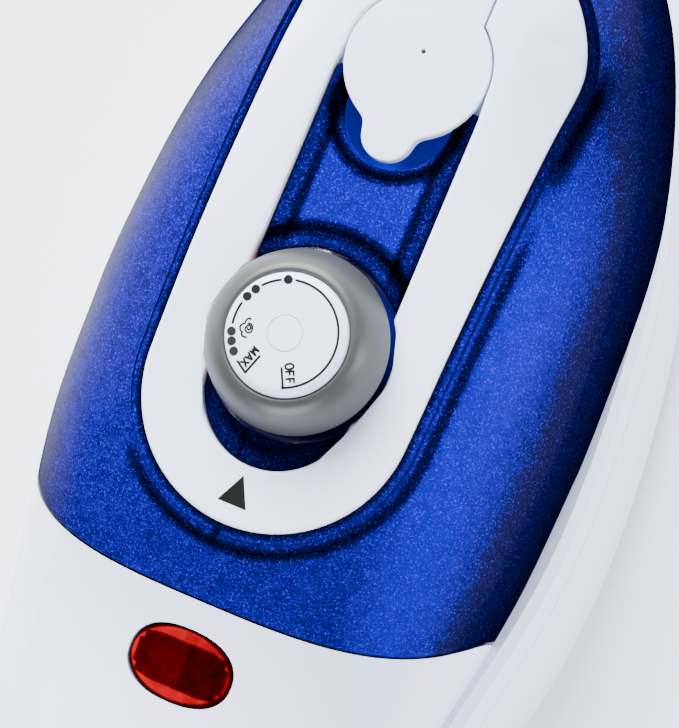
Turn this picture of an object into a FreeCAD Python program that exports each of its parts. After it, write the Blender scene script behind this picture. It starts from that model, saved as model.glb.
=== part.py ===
import FreeCAD, Part
import math
import os
from FreeCAD import Vector, Placement, Rotation

# Steam iron with an in-line stick handle.  Millimetres, +Z up, +Y towards the tip, +X to the right.
# World frame: origin at the middle of the flat sole face.
# Deck frame: the tank, console, dial and handle stand on a seat plane that slopes down to the tip.
os.makedirs("parts", exist_ok=True)
doc = FreeCAD.newDocument("SteamIron")
sheet = doc.addObject("Spreadsheet::Sheet", "Sizes")

SIZES = [
    # seat of the water tank
    ("deck_slope", 8), ("deck_y", -2), ("deck_z", 33),
    # tank hull above the seat: half width, tip, crown height, wall
    ("hull_half", 43), ("hull_tip", 100), ("hull_crown", 42), ("hull_wall", 2.2),
    ("tank_rear", 28.5), ("tank_corner", 15), ("tank_gap", 0.3),
    # console ring on top of the tank
    ("console_top", 37.5), ("console_thick", 3), ("console_half", 22.5), ("console_rear_y", -8.5),
    ("boss_radius", 26.5), ("boss_y", 50), ("channel_half", 12.65), ("channel_floor", 36.2),
    ("dial_hole", 15.5), ("well_radius", 9.2), ("well_y", 40), ("well_floor", 26),
    # filler lid
    ("lid_radius", 12), ("lid_y", 48.4), ("lobe_end", 31.8), ("lobe_half", 4.2), ("neck_half", 7.6),
    ("lid_thick", 2.3), ("hinge_y", 68.5), ("pin_radius", 1), ("inlet_radius", 6.5), ("inlet_y", 51.6),
    ("plug_radius", 5.4),
    # dial
    ("dial_radius", 15), ("dial_low", 37.9), ("dial_top", 47.4), ("disc_radius", 10), ("disc_top", 48.7),
    ("spindle_radius", 3),
    ("sleeve_inner", 3.6), ("sleeve_outer", 5.6), ("well_floor_dial", 33.8),
    # body outlines: half width, middle, front reach, rear reach
    ("rim_half", 46.2), ("part_half", 47), ("skirt_half", 48.5), ("sole_half", 46.8),
    ("seam_level", 9), ("ridge_level", 2), ("body_wall", 2.5),
    ("taper", 0.2), ("taper_soft", 12), ("sole_thick", 4), ("sole_block", 10),
    # rear
    ("lens_half_x", 9), ("lens_half_y", 6), ("lens_y", -54.6), ("handle_end", -188),
    ("gland_bore", 3.6), ("trigger_y", -118), ("trigger_travel", 4.5),
    ("screw_head", 3), ("screw_shank", 1.4),
]
for row, (name, value) in enumerate(SIZES, start=1):
    sheet.set("A%d" % row, name)
    sheet.set("B%d" % row, str(value))
    sheet.setAlias("B%d" % row, name)
doc.recompute()


def size(name):
    return float(sheet.get(name))


DECK = Placement(Vector(0, size("deck_y"), size("deck_z")), Rotation(Vector(1, 0, 0), -size("deck_slope")))
WORLD = Placement()
NODES = {}


# ---------------------------------------------------------------- helpers
def node(name, obj, place):
    """Give one finished object its human name and its place in the iron."""
    obj.Label = name
    obj.Placement = place
    NODES[name] = obj
    return obj


def solid(name, shape):
    """A freely shaped solid that no parametric feature fits, kept as a document object."""
    obj = doc.addObject("Part::Feature", name)
    obj.Shape = shape
    return obj


def bind(obj, **rules):
    for prop, rule in rules.items():
        obj.setExpression(prop.replace("__", "."), rule)
    return obj


def cylinder(name, radius, height, x="0", y="0", z="0"):
    obj = doc.addObject("Part::Cylinder", name)
    return bind(obj, Radius=radius, Height=height, Placement__Base__x=x, Placement__Base__y=y,
                Placement__Base__z=z)


def box(name, length, width, height, x, y, z):
    obj = doc.addObject("Part::Box", name)
    return bind(obj, Length=length, Width=width, Height=height, Placement__Base__x=x,
                Placement__Base__y=y, Placement__Base__z=z)


def cut(name, base, *tools):
    tool = tools[0] if len(tools) == 1 else fuse(name + "_tools", *tools)
    obj = doc.addObject("Part::Cut", name)
    obj.Base, obj.Tool = base, tool
    return obj


def fuse(name, *shapes):
    obj = doc.addObject("Part::MultiFuse", name)
    obj.Shapes = list(shapes)
    return obj


def common(name, *shapes):
    obj = doc.addObject("Part::MultiCommon", name)
    obj.Shapes = list(shapes)
    return obj


def spline(points, closed=True):
    curve = Part.BSplineCurve()
    curve.interpolate(points, closed)
    return Part.Wire([curve.toShape()])


def pad_body(name, outline, length, level):
    """A PartDesign pad of a closed polygon, standing on the given level."""
    body = doc.addObject("PartDesign::Body", name)
    sketch = body.newObject("Sketcher::SketchObject", name + "_sketch")
    sketch.AttachmentSupport = (body.Origin.OriginFeatures[3], [""])
    sketch.MapMode = "FlatFace"
    sketch.setExpression("AttachmentOffset.Base.z", level)
    for start, end in zip(outline, outline[1:] + outline[:1]):
        sketch.addGeometry(Part.LineSegment(Vector(*start, 0), Vector(*end, 0)), False)
    pad = body.newObject("PartDesign::Pad", name + "_pad")
    pad.Profile = sketch
    pad.setExpression("Length", length)
    sketch.Visibility = False
    return body


def turned_body(name, profile):
    """A PartDesign revolution of (radius, height) points about +Z."""
    body = doc.addObject("PartDesign::Body", name)
    sketch = body.newObject("Sketcher::SketchObject", name + "_sketch")
    sketch.AttachmentSupport = (body.Origin.OriginFeatures[4], [""])
    sketch.MapMode = "FlatFace"
    for start, end in zip(profile, profile[1:] + profile[:1]):
        sketch.addGeometry(Part.LineSegment(Vector(*start, 0), Vector(*end, 0)), False)
    turn = body.newObject("PartDesign::Revolution", name + "_turn")
    turn.Profile = sketch
    turn.ReferenceAxis = (sketch, ["V_Axis"])
    turn.Angle = 360
    return body


def arc_points(cx, cy, radius, start, end, steps):
    return [(cx + radius * math.cos(math.radians(start + (end - start) * i / steps)),
             cy + radius * math.sin(math.radians(start + (end - start) * i / steps)))
            for i in range(steps + 1)]


# ---------------------------------------------------------------- outlines of the iron in plan
def half_width(y, half, middle, front, rear):
    """Half width of a pointed iron outline: superellipse to the tip, slow taper to a round heel."""
    if y >= middle:
        share = min(1.0, (y - middle) / front)
        return half * (1 - share ** 2.2) ** 0.625
    back = middle - y
    soft = size("taper_soft")
    width = half - size("taper") * (math.hypot(back, soft) - soft)
    return width * max(0.0, 1 - (back / rear) ** 14) ** 0.4


def outline(half, middle, front, rear, level, inset=0.0):
    """Closed smooth outline at a level, drawn a little smaller by the inset."""
    half, front, rear = half - inset, front - 1.3 * inset, rear - inset
    right = []
    for i in range(1, 19):
        turn = math.pi * i / 19
        if turn < math.pi / 2:
            y = middle + front * math.cos(turn) ** 0.9
        else:
            y = middle - rear * (1 - (1 + math.cos(turn)) ** 1.6)
        right.append((half_width(y, half, middle, front, rear), y))
    points = [Vector(0, middle + front, level)]
    points += [Vector(x, y, level) for x, y in right]
    points += [Vector(0, middle - rear, level)]
    points += [Vector(-x, y, level) for x, y in reversed(right)]
    return spline(points)


def plate(shape_args, low, high, inset=0.0):
    face = Part.Face(outline(*shape_args, low, inset))
    return face.extrude(Vector(0, 0, high - low))


SEAM = (size("part_half"), -14, 116, 78)
SKIRT = (size("skirt_half"), -15, 119, 78.5)
FOOT = (size("skirt_half") - 1, -15, 124, 77)
RIDGE = (size("rim_half"), -12, 113.5, 79)
LEDGE = (size("rim_half") - 1.6, -11, 110.5, 79)
SEAT = (size("hull_half"), 0, size("hull_tip"), 90)
SOLE = (size("sole_half"), -19, 115, 79)


# ---------------------------------------------------------------- hull of the tank, rear body and handle
def crown(y):
    return 8 + (size("hull_crown") - 8) * (1 - (y / (size("hull_tip") + 0.5)) ** 4) ** 0.5


REAR_STATIONS = [
    # y, half width, middle level, height above it, depth below it
    (-20, 42.2, 0, 41.0, 14), (-31, 41.0, 0, 37.6, 14), (-43, 39.0, 0, 31.6, 14), (-56, 36.6, 0, 27.4, 14),
    (-72, 32.8, 2, 24.0, 15), (-90, 25.6, 7, 19.2, 16.4), (-108, 19.8, 12.5, 15.8, 15), (-130, 17, 18, 14.2, 14),
    (-155, 16, 23, 13.6, 13.5), (-178, 16.4, 26.6, 13.6, 13.6), (-186, 14.8, 28, 12, 12),
    (size("handle_end"), 11.5, 28.4, 9.4, 9.4)]


def ring_section(y, half, middle, up, down, inset):
    half, up, down = half - inset, up - inset, down - inset
    power = 2.35 if y > -60 else 2.35 - 0.25 * min(1, (-60 - y) / 50)
    points = []
    for i in range(28):
        turn = 2 * math.pi * i / 28
        c, s = math.cos(turn), math.sin(turn)
        x = half * math.copysign(abs(c) ** (2 / power), c)
        z = middle + (up if s >= 0 else down) * math.copysign(abs(s) ** (2 / power), s)
        points.append(Vector(x, y, z))
    return spline(points)


def hull(inset=0.0, front_only=False):
    rows = []
    tip = size("hull_tip") - 1.3 * inset
    for share in (0.985, 0.95, 0.89, 0.81, 0.71, 0.6, 0.47, 0.32, 0.16, 0.0):
        y = share * tip
        rows.append((y, size("hull_half") * (1 - share ** 2.2) ** 0.625 if share else size("hull_half"), 0, crown(y), 14))
    for row in REAR_STATIONS:
        if front_only and row[0] < -60:
            break
        rows.append(row)
    if inset and not front_only:
        rows[-1] = (rows[-1][0] + inset,) + rows[-1][1:]
    return Part.makeLoft([ring_section(*row, inset) for row in rows], True, False)


def tank_plan(grow, low, high):
    """Upright block that holds the tank: open to the tip, rounded at its two rear corners."""
    half, depth, corner = size("hull_half") + 0.4 + grow, size("tank_rear") + grow, -size("tank_corner")
    rear = []
    for i in range(25):
        turn = math.pi * i / 24
        c, s = math.cos(turn), math.sin(turn)
        rear.append(Vector(half * math.copysign(abs(c) ** (2 / 3.2), c), corner - depth * s ** (2 / 3.2), low))
    curve = Part.BSplineCurve()
    curve.interpolate(rear, False)
    front = Part.makePolygon([rear[-1], Vector(-half, 140, low), Vector(half, 140, low), rear[0]])
    return Part.Face(Part.Wire([curve.toShape()] + front.Edges)).extrude(Vector(0, 0, high - low))


def console_wire(shrink, level):
    """Console outline: half round rear end, straight sides, round boss at the front."""
    half, rear_y = size("console_half") - shrink, size("console_rear_y")
    radius, boss_y = size("boss_radius") - shrink, size("boss_y")
    meet = boss_y - math.sqrt(max(0.01, radius ** 2 - (half + 1.6) ** 2))
    points = arc_points(0, rear_y, half, 180, 360, 24) + [(half + 0.35, 15)]
    lean = math.degrees(math.atan2(meet - boss_y, half + 1.6))
    points += arc_points(0, boss_y, radius, lean, 180 - lean, 40) + [(-half - 0.35, 15)]
    return Part.makePolygon([Vector(x, y, level) for x, y in points + points[:1]])


def channel_wire(grow, level, front):
    half = size("channel_half") + grow
    points = arc_points(0, -8.3, half, 180, 360, 24) + [(half, front), (-half, front)]
    return Part.makePolygon([Vector(x, y, level) for x, y in points + points[:1]])


def lid_wire(grow, level):
    """Lid outline: disc, thumb lobe to the rear and neck to the hinge at the front."""
    radius, lid_y = size("lid_radius") + grow, size("lid_y")
    lobe, lobe_end = size("lobe_half") + grow, size("lobe_end") - grow
    neck, hinge = size("neck_half") + grow, size("hinge_y") + 2 + grow
    waist = math.degrees(math.asin((lobe + 2.6) / radius))
    lobe_y = lobe_end + lobe
    side = math.degrees(math.asin(neck / radius))
    points = [(-neck, hinge), (-neck, lid_y + radius * math.cos(math.radians(side)))]
    points += arc_points(0, lid_y, radius, 90 + side + 4, 270 - waist, 22)
    points += [(-lobe - 1.0, lid_y - radius * math.cos(math.radians(waist)) - 0.9),
               (-lobe - 0.15, lobe_y + 1.3)]
    points += arc_points(0, lobe_y, lobe, 184, 356, 14)
    points += [(-x, y) for x, y in reversed(points[:26 + 1])]
    return Part.makePolygon([Vector(x, y, level) for x, y in points + points[:1]])


def prism(wire, height):
    return Part.Face(wire).extrude(Vector(0, 0, height))


# ---------------------------------------------------------------- shared solids
HULL = solid("hull_outer", hull())
CORE = solid("hull_inner", hull(size("body_wall")))
TOP = size("console_top")
DECK_SEAT = TOP - size("console_thick")
FAR = 400

# ---------------------------------------------------------------- water tank
def disc_at(radius, height, x=0.0, y=0.0, z=0.0):
    return Part.makeCylinder(radius, height, Vector(x, y, z))


well_y, inlet_y, inlet_r = size("well_y"), size("inlet_y"), size("inlet_radius")
well_front = inlet_y - inlet_r
tank_mass = HULL.Shape.common(tank_plan(0, 0, 120)).cut(prism(console_wire(-0.25, DECK_SEAT), 40))
tank_mass = tank_mass.fuse([prism(console_wire(0.25, 20), DECK_SEAT - 20),
                            prism(channel_wire(-0.15, 30, 40), size("channel_floor") - 30)])
tank_hollow = hull(size("hull_wall"), True).common(tank_plan(-size("hull_wall"), -1, DECK_SEAT - 2.6))
well_cup = disc_at(size("well_radius") + 1.8, size("channel_floor") - size("well_floor") + 1.8, 0, well_y,
                   size("well_floor") - 1.8).common(Part.makeBox(60, 60, 80, Vector(-30, well_front - 60, 0)))
tank_hollow = tank_hollow.cut([disc_at(size("sleeve_outer"), 34, z=0.2), well_cup])
well_bore = disc_at(size("well_radius"), 30, 0, well_y, size("well_floor")).common(
    Part.makeBox(60, 60, 80, Vector(-30, well_front - 61.8, 0)))
HINGE_SLOT = Part.makeBox(11.6, 8, 20, Vector(-5.8, size("hinge_y") - 4, TOP - 5.2))
tank_mass = tank_mass.cut([tank_hollow, well_bore, disc_at(size("dial_hole") + 0.3, 20, z=size("well_floor_dial")),
                           disc_at(size("sleeve_inner"), 60, z=-5),
                           disc_at(inlet_r, 30, 0, inlet_y, size("well_floor")), HINGE_SLOT])
node("water_tank", solid("tank_moulding", tank_mass), DECK)



def tank_slice(inset, low, high):
    """Flat slice of the tank's inside, a given distance in from its outer face."""
    slab = Part.makeBox(200, 300, high - low, Vector(-100, -100, low))
    return hull(inset, True).common(tank_plan(-inset, -5, 60)).common(slab)


floor_plate = solid("floor_plate", tank_slice(3.95, 0.2, 2.6))
node("tank_floor", cut("tank_floor_cut", floor_plate,
                       cylinder("floor_sleeve_hole", "Sizes.sleeve_outer + 0.1", "10", z="-2"),
                       cylinder("floor_valve_hole", "2.6", "10", y="34", z="-2")), DECK)
node("tank_seal", solid("tank_seal_ring", tank_slice(2.45, 0.4, 2.4).cut(tank_slice(3.75, 0, 4))), DECK)
node("drip_valve", fuse("drip_valve_parts", cylinder("valve_tube", "2.5", "18", y="34", z="-15"),
                        cylinder("valve_flange", "4.4", "1.4", y="34", z="2.7")), DECK)

# ---------------------------------------------------------------- console ring with its pointer
ring_blank = prism(console_wire(0, DECK_SEAT), size("console_thick"))
ring_tools = [prism(channel_wire(0, 30, 42), 20), disc_at(size("dial_hole"), 20, z=30),
              prism(lid_wire(0.3, TOP - size("lid_thick") - 0.3), 20),
              disc_at(inlet_r + 0.4, 20, 0, inlet_y, 28), HINGE_SLOT,
              Part.makeCylinder(size("pin_radius") + 0.02, 18, Vector(-9, size("hinge_y"), TOP - 1.9), Vector(1, 0, 0))]
apex, foot_y, half_foot = -22.7, -27.7, 2.5
pointer_wire = Part.makePolygon([Vector(0, apex, TOP - 0.4), Vector(half_foot, foot_y, TOP - 0.4),
                                 Vector(-half_foot, foot_y, TOP - 0.4), Vector(0, apex, TOP - 0.4)])
node("console_ring", solid("console_moulding", ring_blank.cut(ring_tools + [prism(pointer_wire, 5)])), DECK)
node("pointer_mark", solid("pointer_insert", prism(pointer_wire, 0.43)), DECK)

# ---------------------------------------------------------------- filler lid
lid_plate = solid("lid_plate", prism(lid_wire(0, TOP - size("lid_thick")), size("lid_thick")).common(
    Part.makeBox(60, size("hinge_y") + 20, 20, Vector(-30, 0, 25))).cut(
    Part.makeBox(20, 20, 20, Vector(5.4, size("hinge_y") - 3.6, 25))).cut(
    Part.makeBox(20, 20, 20, Vector(-25.4, size("hinge_y") - 3.6, 25))).cut(
    Part.makeBox(60, 20, 20, Vector(-30, size("hinge_y"), 25))))
HINGE = Vector(0, size("hinge_y"), TOP - 1.9)


def bar(radius, length):
    """Round bar across the iron on the lid's hinge line."""
    return Part.makeCylinder(radius, length, HINGE - Vector(length / 2, 0, 0), Vector(1, 0, 0))


node("filler_lid", solid("lid_moulding", lid_plate.Shape.fuse(bar(1.9, 10.8)).cut(bar(size("pin_radius") + 0.06, 14))), DECK)
node("lid_hinge_pin", solid("hinge_pin", bar(size("pin_radius"), 17.6)), DECK)
node("lid_plug", fuse("lid_plug_parts",
                      cylinder("plug", "Sizes.plug_radius", "4", y="Sizes.inlet_y",
                               z="Sizes.console_top - Sizes.lid_thick - 4.02"),
                      cylinder("plug_lip", "Sizes.plug_radius + 0.4", "1", y="Sizes.inlet_y",
                               z="Sizes.console_top - Sizes.lid_thick - 2.4")), DECK)

# ---------------------------------------------------------------- dial
low, top, rad, disc = size("dial_low"), size("dial_top"), size("dial_radius"), size("disc_radius")
grip = turned_body("dial_grip_body", [
    (3.1, low + 4.5), (disc - 1, low + 4.5), (disc - 1, top - 1.5), (disc + 0.05, top - 1.5), (disc + 0.05, top - 0.2),
    (disc + 0.7, top - 0.1), (disc + 1.7, top - 0.75), (disc + 2.8, top - 1.9), (disc + 3.8, top - 3.4),
    (disc + 4.55, top - 5.2), (rad - 0.08, low + 2.6), (rad, low + 1.6), (rad - 0.12, low + 0.8),
    (rad - 0.6, low + 0.1), (rad - 1.2, low), (rad - 2.2, low), (rad - 2.2, low + 2.6), (3.1, low + 2.6)])
node("dial_grip", grip, DECK)
face = size("disc_top")
node("dial_face", turned_body("dial_face_body", [
    (0, top - 1.45), (disc, top - 1.45), (disc, face - 1.5), (disc - 0.25, face - 0.8), (disc - 0.7, face - 0.3),
    (disc - 1.3, face), (2.95, face), (2.9, face - 0.35), (0, face - 0.35)]), DECK)
node("dial_cap", turned_body("dial_cap_body", [(0, face - 0.33), (2.8, face - 0.33), (2.8, face - 0.1),
                                              (2.65, face - 0.02), (0, face - 0.02)]), DECK)
node("dial_spindle", fuse("dial_spindle_parts",
                          cylinder("spindle_rod", "Sizes.spindle_radius", "52.9", z="-10"),
                          cylinder("spindle_collar", "5", "2.4", z="Sizes.dial_low + 0.1")), DECK)
stop = Part.makeCylinder(size("dial_hole") - 0.1, 3.4, Vector(0, 0, 33.9)).cut(
    Part.makeCylinder(size("dial_hole") - 1.3, 10, Vector(0, 0, 30))).common(
    Part.makeBox(12, 19, 20, Vector(-20, -9.5, 25)))
node("dial_stop_segment", solid("dial_stop", stop), DECK)

# ---------------------------------------------------------------- upper body with the top of the handle
rim = Part.makeLoft([outline(*SEAM, -size("seam_level") + 0.35), outline(*RIDGE, -size("ridge_level")),
                     outline(*LEDGE, 0)], True, True)
clearance = tank_plan(size("tank_gap"), -0.001, 120)
over_seam = Part.makeBox(400, 600, 200, Vector(-200, -300, -size("seam_level") + 0.35))
upper_mass = HULL.Shape.common(over_seam).cut(clearance).fuse(rim)
rim_core = plate(LEDGE, -20, 30, 3.4).common(tank_plan(-2.5, -30, 60))
rear_core = CORE.Shape.cut(tank_plan(size("tank_gap") + 2.4, -0.001, 120)).common(
    Part.makeBox(400, 400, 200, Vector(-200, -420, -100)))
LOW_SIDE = Part.makeBox(200, 200, 60, Vector(-100, -290, -60))
LOW_SIDE.Placement = Placement(Vector(0, 0, 6), Rotation(Vector(1, 0, 0), -12.4), Vector(0, -90, 0))
CORD_HOLE = Part.makeCylinder(5.1, 30, Vector(0, -200, 28.6), Vector(0, 1, 0))


def lens_block(grow, low_z, high_z):
    """Barrel shaped lens outline, round ended and a little swollen."""
    half_x, half_y = size("lens_half_x") + grow, size("lens_half_y") + grow
    points = []
    for i in range(32):
        c, s = math.cos(2 * math.pi * i / 32), math.sin(2 * math.pi * i / 32)
        points.append(Vector(half_x * math.copysign(abs(c) ** 0.86, c),
                             size("lens_y") + half_y * math.copysign(abs(s) ** 0.86, s), low_z))
    return Part.Face(spline(points)).extrude(Vector(0, 0, high_z - low_z))


upper_shape = upper_mass.cut([rim_core, rear_core, LOW_SIDE, lens_block(0.15, 10, 60), CORD_HOLE])
node("upper_body", solid("upper_moulding", upper_shape), DECK)

# ---------------------------------------------------------------- lower half of the handle
trigger_y = size("trigger_y")
low_side = LOW_SIDE.copy()
low_side.translate(Vector(0, 0, -0.3))
lower_shape = HULL.Shape.common(low_side).common(Part.makeBox(400, 200, 200, Vector(-200, -292.5, -100)))
lower_shape = lower_shape.cut([CORE.Shape.common(Part.makeBox(400, 93, 200, Vector(-200, -187, -100))), CORD_HOLE,
                               Part.makeBox(11, 25, 40, Vector(-5.5, trigger_y - 12.5, -20))]
                              + [disc_at(size("screw_head") + 0.2, 40, 0, y, z - 38.4) for y, z in ((-100, 6.2), (-160, 18))]
                              + [disc_at(size("screw_shank") + 0.1, 40, 0, y, z - 20) for y, z in ((-100, 6.2), (-160, 18))])
node("lower_handle", solid("lower_handle_moulding", lower_shape), DECK)

# ---------------------------------------------------------------- skirt, heat shield
skirt_mass = Part.makeLoft([outline(*SEAM, -size("seam_level")), outline(*SKIRT, -20), outline(*FOOT, -56)],
                           True, False)
skirt_core = Part.makeLoft([outline(*SEAM, -size("seam_level") + 1, 2.6), outline(*SKIRT, -20, 2.6),
                            outline(*FOOT, -57, 2.6)], True, False)
skirt_shape = skirt_mass.cut(skirt_core)
skirt_shape.Placement = DECK
skirt_shape = skirt_shape.common(Part.makeBox(400, 600, 200, Vector(-200, -300, size("sole_thick") + 0.5)))
node("lower_skirt", solid("skirt_band", skirt_shape), WORLD)


def world_box(length, width, height, corner):
    """A box that is upright in the world, written in deck coordinates."""
    block = Part.makeBox(length, width, height, corner)
    block.Placement = DECK.inverse()
    return block


# The shield slopes with the deck and levels out over the front of the soleplate.
shield_core = Part.makeLoft([outline(*SEAM, -9, 3.3), outline(*SKIRT, -20, 3.3), outline(*FOOT, -57, 3.3)], True, False)
shield = shield_core.common(Part.makeBox(300, 400, 1.8, Vector(-150, -200, -11.4)))
shield = shield.common(world_box(300, 500, 100, Vector(-150, -250, 14.8)))
shield = shield.fuse(shield_core.common(world_box(200, 200, 1.8, Vector(-100, 46, 14.8))))
node("heat_shield", cut("heat_shield_cut", solid("shield_plate", shield),
                        cylinder("shield_thermostat_hole", "14", "10", z="-15"),
                        cylinder("shield_valve_hole", "4", "10", y="34", z="-18"),
                        cylinder("shield_hose_hole", "5.5", "10", x="14.3", y="-35.5", z="-15")), DECK)

# ---------------------------------------------------------------- soleplate and what stands on it
sole_flange = plate(SOLE, 0, size("sole_thick"))
sole_flange = sole_flange.makeChamfer(0.8, [e for e in sole_flange.Edges if abs(e.BoundBox.ZMax) < 0.01])
sole_top = plate(SOLE, size("sole_thick") - 1, size("sole_block"), 5.4)


def steam_holes():
    """Holes that let the steam out: two rows that follow the tip and a short row across."""
    spots = []
    for i in range(9):
        y = 10 + 8.2 * i
        x = half_width(y, size("sole_half"), -19, 115, 79) - 14
        if x > 3:
            spots += [(x, y), (-x, y)]
    spots += [(0, 84), (0, 76)]
    spots += [(x, -4) for x in (-22, -11, 11, 22)]
    return spots


CHAMBER = (28.5, -6, 78, 34)
pillar_spots = [(-16, -26), (16, -26), (-11, 40), (11, 40)]
chamber = Part.Face(outline(*CHAMBER, 6.2, 2.5)).extrude(Vector(0, 0, 20))
chamber = chamber.cut([disc_at(13, 40, 0, -5)] + [disc_at(3.4, 40, x, y) for x, y in pillar_spots])
pillar_bores = [disc_at(size("screw_shank") + 0.05, 20, x, y, 5) for x, y in pillar_spots]
holes = [Part.makeCylinder(1.1, 30, Vector(x, y, -5)) for x, y in steam_holes()]
heater_path_points = [Vector(-16, -88, 10.4), Vector(-21, -60, 10.4), Vector(-36.2, -20, 10.4), Vector(-30.4, 36, 10.4),
                      Vector(0, 82, 10.4), Vector(30.4, 36, 10.4), Vector(36.2, -20, 10.4), Vector(21, -60, 10.4),
                      Vector(16, -88, 10.4)]
heater_curve = Part.BSplineCurve()
heater_curve.interpolate(heater_path_points)


def tube(radius):
    start = heater_curve.value(heater_curve.FirstParameter)
    direction = heater_curve.tangent(heater_curve.FirstParameter)[0]
    ring_edge = Part.Wire([Part.makeCircle(radius, start, direction)])
    return Part.Wire([heater_curve.toShape()]).makePipeShell([ring_edge], True, True)


node("soleplate", solid("sole_casting", sole_flange.fuse(sole_top).cut([chamber, tube(3.3)] + holes + pillar_bores)), WORLD)
node("heating_element", solid("heater_tube", tube(3.2)), WORLD)
clear_pad = disc_at(11.8, 40, 0, -5)
cover = Part.Face(outline(*CHAMBER, 10.9)).extrude(Vector(0, 0, 1.6)).cut([clear_pad] + pillar_bores)
gasket = Part.Face(outline(*CHAMBER, 10.02)).extrude(Vector(0, 0, 0.86)).cut(
    Part.Face(outline(*CHAMBER, 9, 2.4)).extrude(Vector(0, 0, 4))).cut(clear_pad)
node("steam_cover", solid("steam_cover_plate", cover), WORLD)
node("steam_gasket", solid("steam_gasket_ring", gasket), WORLD)

# ---------------------------------------------------------------- thermostat on its wedge
THERMOSTAT_LEVEL = -19.6
wedge = Part.makeCylinder(11, 40, Vector(0, 0, THERMOSTAT_LEVEL - 40))
wedge.Placement = DECK
wedge = wedge.common(Part.makeBox(60, 60, 40, Vector(-30, -30, size("sole_block") + 0.02)))
node("thermostat_wedge", solid("wedge", wedge), WORLD)
node("thermostat", cut("thermostat_cut", fuse("thermostat_parts",
                                              cylinder("thermostat_disc", "10.5", "5", z=str(THERMOSTAT_LEVEL + 0.02)),
                                              cylinder("thermostat_bush", "5.5", "10.4",
                                                       z=str(THERMOSTAT_LEVEL + 0.02))),
                       cylinder("spindle_bearing", "Sizes.spindle_radius + 0.05", "30",
                                z=str(THERMOSTAT_LEVEL + 5))), DECK)
fuse_clip = Part.makeBox(10, 8, 3.4, Vector(-5, -50, 10.02))
node("thermal_fuse", solid("fuse_and_clip", fuse_clip.fuse(Part.makeCylinder(3, 22, Vector(-11, -46, 14.4),
                                                                             Vector(1, 0, 0)))), WORLD)

# ---------------------------------------------------------------- pilot light
node("indicator_lens", cut("lens_cut", common("lens_mass", solid("lens_block", lens_block(0, 14, 60)),
                                              solid("lens_under", hull(0.1))),
                           solid("lens_hollow", lens_block(-1.6, 10, 60).common(hull(1.9)))), DECK)
node("lamp_holder", cut("lamp_holder_cut", box("holder_block", "17", "10", "5", "-8.5", "Sizes.lens_y - 5", "8.7"),
                        box("holder_slot", "13", "5.6", "6", "-6.5", "Sizes.lens_y - 2.8", "10.9")), DECK)
node("neon_lamp", solid("neon_glass", Part.makeCylinder(2.4, 11, Vector(-5.5, size("lens_y"), 14),
                                                       Vector(1, 0, 0))), DECK)

# ---------------------------------------------------------------- steam trigger, pump and their springs
trigger_top, trigger_low = 16.5, -1.5
trigger_pad = Part.makeBox(10.2, 24.2, 7, Vector(-5.1, trigger_y - 12.1, trigger_low))
trigger_pad = trigger_pad.makeFillet(2.0, [e for e in trigger_pad.Edges if e.BoundBox.ZMax < trigger_low + 0.01])
node("steam_trigger", fuse("trigger_parts", solid("trigger_pad", trigger_pad),
                           cylinder("trigger_stem", "2.2", "6.4", y="Sizes.trigger_y", z="5.4")), DECK)
node("pump_piston", solid("piston", disc_at(3.4, 5, 0, trigger_y, 11.85)), DECK)
node("pump_cylinder", cut("pump_cylinder_cut", cylinder("pump_outer", "5", "12.4", y="Sizes.trigger_y", z="11"),
                          cylinder("pump_bore", "3.46", "10.8", y="Sizes.trigger_y", z="10.9")), DECK)

# ---------------------------------------------------------------- heel of the handle
gland = turned_body("cord_gland_body", [
    (size("gland_bore"), -3), (5.0, -3), (5.0, 4.2), (6.3, 4.2), (6.3, 5.6), (5.7, 16), (4.9, 26),
    (size("gland_bore"), 26)])
node("cord_gland", gland, DECK.multiply(Placement(Vector(0, size("handle_end") + 4.1, 28.6),
                                                  Rotation(Vector(1, 0, 0), 90))))
node("terminal_block", cut("terminal_cut", box("terminal_bar", "20", "10", "8", "-10", "-80", "4"),
                           fuse("terminal_holes", *[cylinder("terminal_hole_%d" % i, "1.6", "12", x=str(x), y="-75",
                                                             z="3") for i, x in enumerate((-6, 0, 6))])), DECK)


def screw(x, y, z, down=True):
    """Pan head screw with its shank pointing up, or down."""
    head = Part.makeCylinder(size("screw_head"), 1.6, Vector(x, y, z))
    shank = Part.makeCylinder(size("screw_shank"), 7, Vector(x, y, z + (-7 if down else 1.6)))
    return head.fuse(shank)


def screw_set(name, spots, place, down=True):
    return node(name, solid(name + "_set", Part.makeCompound([screw(x, y, z, down) for x, y, z in spots])), place)


handle_screw_spots = [(0, -100), (0, -160)]
screw_set("handle_screws", [(x, y, 6.2 if y > -120 else 18.0) for x, y in handle_screw_spots], DECK, False)
screw_set("cover_screws", [(x, y, 12.52) for x, y in pillar_spots], WORLD)
spring_wire = Part.makeHelix(1.3, 5.0, 3.0)
spring_start = Part.Wire([Part.makeCircle(0.3, Vector(3.0, 0, 0), Vector(0, 1, 0.07))])
spring = Part.Wire(spring_wire.Edges).makePipeShell([spring_start], True, True)
node("trigger_spring", solid("spring_coil", spring), DECK.multiply(Placement(Vector(0, trigger_y, 5.75), Rotation())))
hose_line = Part.BSplineCurve()
hose_line.interpolate([Vector(x, y, z) for x, y, z in (
    (0, -111.9, 17.5), (3, -104, 17.5), (10, -90, 12), (14.5, -74, 4), (15, -58, -2), (14.5, -42, -6),
    (14, -31, -14), (14, -29, -24.1))])
hose_start = hose_line.value(hose_line.FirstParameter)
hose_ring = [Part.Wire([Part.makeCircle(r, hose_start, hose_line.tangent(hose_line.FirstParameter)[0])])
             for r in (2.0, 1.2)]
hose_path = Part.Wire([hose_line.toShape()])
hose = hose_path.makePipeShell([hose_ring[0]], True, True)
node("pump_hose", solid("hose", hose), DECK)

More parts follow.
